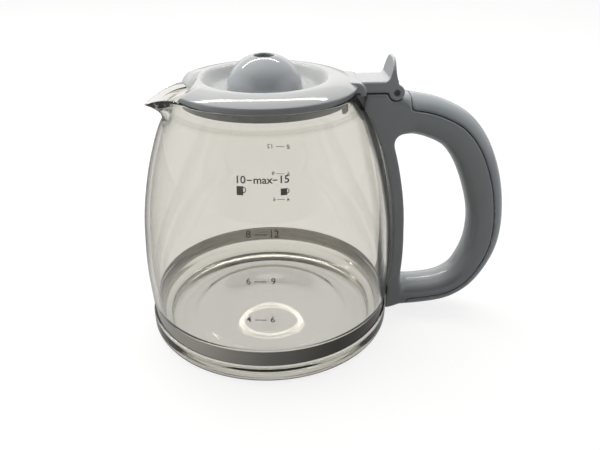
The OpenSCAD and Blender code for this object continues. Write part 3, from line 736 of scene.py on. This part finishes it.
# Lid arm: saddle on the lid's edge, bar, two ears round the pin and the thumb lever
ARM_HALF, ARM_ROUND, BAR = 10.2, 1.3, (47.0, 65.5, 132.05, 138.0)
EAR_R, EAR_ROUND = 3.9, 0.7
SADDLE_CORE, SADDLE_GROW, SADDLE_HALF, SADDLE_ROUND = (30.0, 44.2, 120.0, 132.8), 5.4, 12.5, 1.0
SADDLE_X0, SADDLE_STEP_X, SADDLE_Z_IN, SADDLE_Z_OUT, SADDLE_X1 = 41.3, 46.4, 132.95, 131.4, 50
LEVER_LINE = [(62.6, 137.0), (63.0, 139.0), (63.0, 141.2), (63.15, 144.0), (63.35, 146.5), (63.5, 147.9)]
LEVER_HALF = [2.6, 2.0, 1.45, 0.95, 0.75, 0.65]
LEVER_TOP, LEVER_CORNER = 148.5, 8.0
EAR_BLEND, LEVER_BLEND, SADDLE_BLEND = 1.2, 1.6, 0.6
HOLLOW, HOLLOW_HALF = (40.0, 61.2, 131.0, 135.8), 8.2
LUG_SLOT_R, LUG_SLOT, LUG_SLOT_HALF = 4.2, (60.2, 70.0, 126.0, PIN_Z), 7.25
PIN_BORE_R = 1.56
ARM_LOW, ARM_HIGH, ARM_STEP = (40.4, -13.3, 127.6), (69.8, 13.3, 149.4), 0.4


def arm_field(x, y, z):
    pin = np.hypot(x - PIN_X, z - PIN_Z)
    side = np.abs(y)
    bar = thick(box2(x, z, *BAR), y, ARM_HALF, ARM_ROUND)
    ear = thick(pin - EAR_R, y, ARM_HALF, EAR_ROUND)
    saddle = thick(box2(x, z, *SADDLE_CORE) - SADDLE_GROW, y, SADDLE_HALF, SADDLE_ROUND)
    low_edge = np.where(x > SADDLE_STEP_X, SADDLE_Z_OUT, SADDLE_Z_IN)
    saddle = np.maximum(saddle, np.maximum(SADDLE_X0 - x, low_edge - z))
    d, half = near(LEVER_LINE, x[:, 0, :], z[:, 0, :], LEVER_HALF)
    corner_y = np.maximum(side - ARM_HALF + LEVER_CORNER, 0)
    corner_z = np.maximum(z - LEVER_TOP + LEVER_CORNER, 0)
    outline = np.maximum(side - ARM_HALF, np.hypot(corner_y, corner_z) - LEVER_CORNER)
    lever = np.maximum((d - half)[:, None, :], outline)
    f = smin(bar, ear, EAR_BLEND)
    f = smin(f, lever, LEVER_BLEND)
    f = smin(f, saddle, SADDLE_BLEND)
    f = np.maximum(f, side - np.where(x < SADDLE_X1, SADDLE_HALF, ARM_HALF))
    hollow = np.maximum(box2(x, z, *HOLLOW), side - HOLLOW_HALF)
    slot = np.maximum(np.minimum(pin - LUG_SLOT_R, box2(x, z, *LUG_SLOT)), side - LUG_SLOT_HALF)
    f = np.maximum(f, -np.minimum(hollow, slot))
    return np.maximum(f, PIN_BORE_R - pin)


surface("hinge_arm", mat_arm, "lid", ("lid_arm",), arm_field, ARM_LOW, ARM_HIGH, ARM_STEP)

# Lid shell: dish, crowned ring and rounded edge outside, a thin wall inside
LID_SEG, LID_STEPS, LID_SHARP = 240, 7, 28
DISH = [
    (17.1, 131.1), (17.1, 133.3), (24.0, 133.3), (25.2, 133.4), (26.6, 134.0), (28.0, 135.35), (29.4, 137.05),
    (30.7, 138.55), (31.9, 139.4)
]
CROWN_R, CROWN_Z, CROWN_FALL = 33.5, 139.7, 0.0198
CROWN = [(r, CROWN_Z - CROWN_FALL * (r - CROWN_R) ** 2) for r in (33.5, 35.5, 37.5, 39.5, 41.5, 43.5, 45.2)]
LID_EDGE = [
    (46.2, 136.5), (46.65, 136.2), (46.86, 135.8), (46.84, 135.0), (46.6, 134.0), (46.2, 133.2),
    (45.8, 132.95)
]
LID_INSIDE = [
    (44.9, 132.95), (44.7, 133.3), (44.5, 134.7), (43.6, 135.1), (38.0, 136.9), (32.5, 137.4), (30.0, 135.6),
    (27.5, 132.4), (24.0, 131.1)
]
LID_R, LID_LOW_Z, LID_EDGE_H = 46.9, 132.95, 3.1

# The underside clears the hook, and a notch with a soft dip faces the spout
HOOK_CLEAR_Z, HOOK_CLEAR_R, HOOK_ANGLE, HOOK_RAMP = 134.65, 40, 10, 1.5
NOTCH_MIDDLE, NOTCH_ANGLE, NOTCH_CUT_ANGLE = math.radians(183.0), 60, 50
NOTCH_X, NOTCH_LEAN, NOTCH_BLEND = 37.0, 0.3, 2.0
NOTCH_R0, NOTCH_RUN, NO_CUT = 32.5, 14.4, 99.0
TOP_DIP, TOP_DIP_ANGLE, TOP_DIP_RAMP = 3.0, 32, 9
LOW_DIP, LOW_DIP_ANGLE, LOW_DIP_RAMP = 1.9, 17, 8
DIP_POWER = 1.3


# The notch's edge is a line across the ring with its middle pulled back, blended into the round edge
def lid_form(r, z, theta):
    off = math.degrees(angle_from(theta, 0))
    if off < HOOK_ANGLE and r > HOOK_CLEAR_R:
        z += min((HOOK_ANGLE - off) / HOOK_RAMP, 1) * max(HOOK_CLEAR_Z - z, 0)
    delta = angle_from(theta, NOTCH_MIDDLE)
    deg = math.degrees(delta)
    if deg > NOTCH_ANGLE or r < NOTCH_R0:
        return r, z
    cut = NOTCH_X / (math.cos(delta) - NOTCH_LEAN * math.sin(delta)) if deg < NOTCH_CUT_ANGLE else NO_CUT
    h = clamp(0.5 + 0.5 * (cut - LID_R) / NOTCH_BLEND)
    limit = cut + h * (LID_R - cut) - NOTCH_BLEND * h * (1 - h)
    share = (r - NOTCH_R0) / NOTCH_RUN
    upper = clamp((z - LID_LOW_Z) / LID_EDGE_H)
    top_dip = TOP_DIP * ease(clamp((TOP_DIP_ANGLE - deg) / TOP_DIP_RAMP))
    low_dip = LOW_DIP * ease(clamp((LOW_DIP_ANGLE - deg) / LOW_DIP_RAMP))
    dip = upper * top_dip + (1 - upper) * low_dip
    return NOTCH_R0 + share * (limit - NOTCH_R0), z - dip * clamp(share) ** DIP_POWER


lid_outside = DISH + CROWN + LID_EDGE
lid_profile = lid_outside[:1] + spline(lid_outside[1:-1], LID_STEPS) + lid_outside[-1:] + LID_INSIDE
lid_shell = new_piece("lid_shell", mat_shell_lit, "lid", ("lid_plate",))
fill(lid_shell, *revolve(lid_profile, LID_SEG, None, lid_form), LID_SHARP)

# Dome: turned shell with a rounded drip hole
DOME_SEG, DOME_SHARP = 160, 50
DOME_R, DOME_H, DOME_Z, DOME_WALL = 19.0, 17.2, 133.3, 2.0
DRIP_R, DRIP_ROUND, DRIP_PLAY = 5.0, 1.0, 0.1
DRIP_EDGE = [(5.6, 149.63), (5.25, 149.5), (5.05, 149.2), (5.0, 148.7)]
DOME_FOOT_R, DOME_LIFT, DOME_SINK = 17.0, 0.05, 2.1
DOME_STEPS_OUT, DOME_STEPS_IN = 40, 24


def dome_line(r, h, n, hole):
    end = math.acos(hole / r)
    return [(r * math.cos(end * k / n), DOME_Z + h * math.sin(end * k / n)) for k in range(n + 1)]


dome_out = dome_line(DOME_R, DOME_H, DOME_STEPS_OUT, DRIP_R + DRIP_ROUND)
dome_in = dome_line(DOME_R - DOME_WALL, DOME_H - DOME_WALL, DOME_STEPS_IN, DRIP_R + DRIP_PLAY)
dome_foot_out, dome_foot_in = (DOME_FOOT_R, DOME_Z + DOME_LIFT), (DOME_FOOT_R, DOME_Z - DOME_SINK)
dome_profile = [dome_foot_out] + dome_out + DRIP_EDGE + dome_in[::-1] + [dome_foot_in]
dome = new_piece("dome_shell", mat_lid, "lid", ("lid_dome",))
fill(dome, *revolve(dome_profile, DOME_SEG), DOME_SHARP)

# Printed cup scale: flat shapes laid on the glass. A row is its two numbers, height, their two places,
# where the dash starts after the left number, and the size.
FRONT_ANGLE, BACK_ANGLE = -92.0, 82.6
FRONT_ROWS = [
    ("4", "6", 40.4, -8.1, 3.2, 2.8, 4.5), ("6", "9", 61.2, -7.6, 3.9, 2.7, 4.5),
    ("8", "12", 84.0, -7.0, 4.6, 2.9, 4.8)
]
BACK_ROWS = [
    ("4", "6", 40.7, -5.4, 4.4, 2.4, 4.2), ("6", "9", 59.6, -5.6, 4.6, 2.5, 4.3),
    ("8", "12", 79.6, -5.9, 5.9, 2.4, 4.4)
]
FRONT_BOLD, BACK_BOLD, TOP_BOLD = 0.04, 0.02, 0.08
DASH_LONG, DASH_WIDE, TOP_DASH_WIDE = 5.6, 0.4, 0.5
TOP_Z, TOP_SIZE, TOP_WIDE = 107.6, 4.4, 1.14
TOP_WORDS = [("10", -10.0), ("max", 0), ("15", 9.4)]
TOP_DASHES = [(-7.1, -4.8), (4.4, 6.4)]
MUGS = [(-10.2, 103.1, 3.0, 3.8), (9.3, 102.5, 2.9, 2.9)]
MUG_EAR_R, MUG_EAR_UP, MUG_EAR_FLAT, MUG_EAR_STEPS, MUG_EAR_WIDE = 0.3, 0.1, 0.95, 12, 0.4
INK_LIFT, INK_EDGE_MAX, INK_CUTS = 0.06, 1.2, 3
CURVE_STEPS = 6


def letters(text, size, bold):
    curve = bpy.data.curves.new("text", "FONT")
    curve.body = text
    curve.size = size
    curve.align_x = "CENTER"
    curve.align_y = "CENTER"
    curve.offset = bold
    curve.resolution_u = CURVE_STEPS
    ob = bpy.data.objects.new("text", curve)
    bpy.context.scene.collection.objects.link(ob)
    bpy.context.view_layer.update()
    mesh = bpy.data.meshes.new_from_object(ob.evaluated_get(bpy.context.evaluated_depsgraph_get()))
    verts = [tuple(v.co) for v in mesh.vertices]
    faces = [tuple(p.vertices) for p in mesh.polygons]
    bpy.data.objects.remove(ob)
    bpy.data.curves.remove(curve)
    bpy.data.meshes.remove(mesh)
    return verts, faces


def stroke(points, width):
    verts = []
    last = len(points) - 1
    for i, p in enumerate(points):
        a, b = points[max(i - 1, 0)], points[min(i + 1, last)]
        ux, uy = b[0] - a[0], b[1] - a[1]
        d = math.hypot(ux, uy)
        nx, ny = -uy / d * width / 2, ux / d * width / 2
        verts += [(p[0] + nx, p[1] + ny, 0), (p[0] - nx, p[1] - ny, 0)]
    faces = [(2 * i, 2 * i + 1, 2 * i + 3, 2 * i + 2) for i in range(last)]
    return verts, faces


# A part is (verts, faces, place along the glass, height, width share)
def lay(parts, name, angle, mat):
    bm = bmesh.new()
    for verts, faces, cx, cz, wide in parts:
        placed = [bm.verts.new((cx + v[0] * wide, cz + v[1], 0)) for v in verts]
        for face in faces:
            bm.faces.new([placed[i] for i in face])
    bmesh.ops.triangulate(bm, faces=bm.faces)
    long_edges = [e for e in bm.edges if e.calc_length() > INK_EDGE_MAX]
    bmesh.ops.subdivide_edges(bm, edges=long_edges, cuts=INK_CUTS, use_grid_fill=False)
    verts = []
    for v in bm.verts:
        along, z = v.co.x, v.co.y
        r = belly_r(z) + INK_LIFT
        t = math.radians(angle) + along / r
        verts.append((r * math.cos(t), r * math.sin(t), z))
    bm.verts.index_update()
    faces = [tuple(v.index for v in f.verts) for f in bm.faces]
    bm.free()
    fill(new_piece(name, mat, "jug"), verts, faces)


def scale_row(left, right, z, x_left, x_right, dash_from, size, bold):
    dash_x = x_left + dash_from
    return [
        (*letters(left, size, bold), x_left, z, 1), (*letters(right, size, bold), x_right, z, 1),
        (*stroke([(dash_x, z), (dash_x + DASH_LONG, z)], DASH_WIDE), 0, 0, 1)
    ]


def top_row():
    words = [(*letters(text, TOP_SIZE, TOP_BOLD), x, TOP_Z, TOP_WIDE) for text, x in TOP_WORDS]
    dashes = [(*stroke([(x0, TOP_Z), (x1, TOP_Z)], TOP_DASH_WIDE), 0, 0, 1) for x0, x1 in TOP_DASHES]
    return words + dashes


def mug(cx, z, w, h):
    x0, x1, z0, z1 = cx - w / 2, cx + w / 2, z - h / 2, z + h / 2
    cup = [(x0, z0, 0), (x1, z0, 0), (x1, z1, 0), (x0, z1, 0)]
    ear = [(x1 + x * MUG_EAR_FLAT, z + MUG_EAR_UP * h + y)
           for x, y in arc(0, 0, h * MUG_EAR_R, 90, -90, MUG_EAR_STEPS)]
    return [(cup, [(0, 1, 2, 3)], 0, 0, 1), (*stroke(ear, MUG_EAR_WIDE), 0, 0, 1)]


front_marks, back_marks = [], []
for row in FRONT_ROWS:
    front_marks += scale_row(*row, FRONT_BOLD)
front_marks += top_row()
for place in MUGS:
    front_marks += mug(*place)
for row in BACK_ROWS:
    back_marks += scale_row(*row, BACK_BOLD)
lay(front_marks, "cup_scale_front", FRONT_ANGLE, mat_ink)
lay(back_marks, "cup_scale_back", BACK_ANGLE, mat_ink_pale)

# Floor: white to the camera and through the glass, dimmer in reflections, where the corner
# behind the spout is dark
FLOOR_HALF, FLOOR_Z = 3.0, -0.0002
FLOOR_ROUGH, FLOOR_NOISE_SCALE, FLOOR_NOISE_DETAIL = 0.9, 3.0, 2.0
FLOOR_DARK, FLOOR_LIGHT = grey(0.17), grey(0.18)
FLOOR_GLOW, FLOOR_MIRROR = 0.82, 0.42
CORNER_X_DARK, CORNER_X_LIT, CORNER_Y_DARK, CORNER_Y_LIT = -0.1, -0.04, 0.08, 0.02

floor_mesh = bpy.data.meshes.new("floor")
floor_ob = bpy.data.objects.new("floor", floor_mesh)
bpy.context.scene.collection.objects.link(floor_ob)
floor_corners = [(FLOOR_HALF * x, FLOOR_HALF * y, FLOOR_Z) for x, y in ((-1, -1), (1, -1), (1, 1), (-1, 1))]
floor_mesh.from_pydata(floor_corners, [], [(0, 1, 2, 3)])
floor_mat, tree, b = new_material("floor_white")
b.inputs["Roughness"].default_value = FLOOR_ROUGH
b.inputs["Specular IOR Level"].default_value = 0.0
floor_noise = object_noise(tree, FLOOR_NOISE_SCALE, FLOOR_NOISE_DETAIL)
tree.links.new(mottle(tree, floor_noise, FLOOR_DARK, FLOOR_LIGHT), b.inputs["Base Color"])
b.inputs["Emission Color"].default_value = (*grey(1), 1)
rays = tree.nodes.new("ShaderNodeLightPath").outputs
place = split_xyz(tree, object_place(tree))
beside = span(tree, place["X"], CORNER_X_DARK, CORNER_X_LIT)
before = span(tree, place["Y"], CORNER_Y_DARK, CORNER_Y_LIT)
mirror = span(tree, maths(tree, "MAXIMUM", beside, before), 0.0, 1.0, 0.0, FLOOR_MIRROR)
seen = maths(tree, "MAXIMUM", rays["Is Camera Ray"], rays["Is Transmission Ray"])
mirrored = maths(tree, "MULTIPLY", rays["Is Glossy Ray"], mirror)
glow = maths(tree, "MULTIPLY", maths(tree, "MAXIMUM", seen, mirrored), FLOOR_GLOW)
tree.links.new(glow, b.inputs["Emission Strength"])
floor_mesh.materials.append(floor_mat)

# World: white to the camera, at least half as bright through the glass, and otherwise the light of a room,
# bright above and behind, dimmer in front, bright again to both sides
THROUGH_SHARE = 0.5
ROOM_AXIS, ROOM_FROM, ROOM_TO = (0.0, 0.57, 0.82), (0.05, 0.85), (0.05, 0.9)
SIDES_FROM, SIDES_TO = (0.35, 0.95), (0.0, 0.85)

world = bpy.data.worlds.new("studio")
bpy.context.scene.world = world
world.use_nodes = True
tree = world.node_tree
background = tree.nodes["Background"]
background.inputs["Color"].default_value = (*grey(1), 1)
rays = tree.nodes.new("ShaderNodeLightPath").outputs
direction = tree.nodes.new("ShaderNodeTexCoord").outputs["Generated"]
through = maths(tree, "MULTIPLY", rays["Is Transmission Ray"], THROUGH_SHARE)
seen = maths(tree, "MAXIMUM", rays["Is Camera Ray"], through)
room = span(tree, vector_maths(tree, "DOT_PRODUCT", direction, ROOM_AXIS), *ROOM_FROM, *ROOM_TO, True)
sideways = maths(tree, "ABSOLUTE", split_xyz(tree, direction)["X"])
sides = span(tree, sideways, *SIDES_FROM, *SIDES_TO, True)
strength = maths(tree, "MAXIMUM", seen, maths(tree, "MAXIMUM", room, sides))
tree.links.new(strength, background.inputs["Strength"])

# Lamps as place, target, width, height and power. The top and left ones make no highlights, and only
# the highlights of the strip show through the glass.
LAMP_COLOUR = (1.0, 0.955, 0.89)


def area(name, place, target, width, height, power):
    lamp = bpy.data.lights.new(name, "AREA")
    lamp.shape = "RECTANGLE"
    lamp.size, lamp.size_y = width, height
    lamp.energy = power
    lamp.color = LAMP_COLOUR
    ob = bpy.data.objects.new(name, lamp)
    bpy.context.scene.collection.objects.link(ob)
    ob.location = place
    ob.rotation_euler = (Vector(target) - Vector(place)).to_track_quat("-Z", "Y").to_euler()
    ob.visible_camera = False
    ob.visible_transmission = False
    return ob


light_top = area("light_top", (0.05, 0.3, 1.0), (0, 0, 0.08), 1.0, 0.6, 7.0)
light_top.visible_glossy = False
area("light_back", (0, 1.5, 0.55), (0, 0, 0.12), 3.0, 0.5, 1.5)
light_left = area("light_left", (-1.3, 0.1, 0.55), (0, 0, 0.1), 0.9, 0.7, 9)
light_left.visible_glossy = False
light_strip = area("light_strip", (-0.17, 0.55, 0.83), (-0.17, 0, 0.137), 1.12, 0.055, 2.4)
light_strip.visible_transmission = True
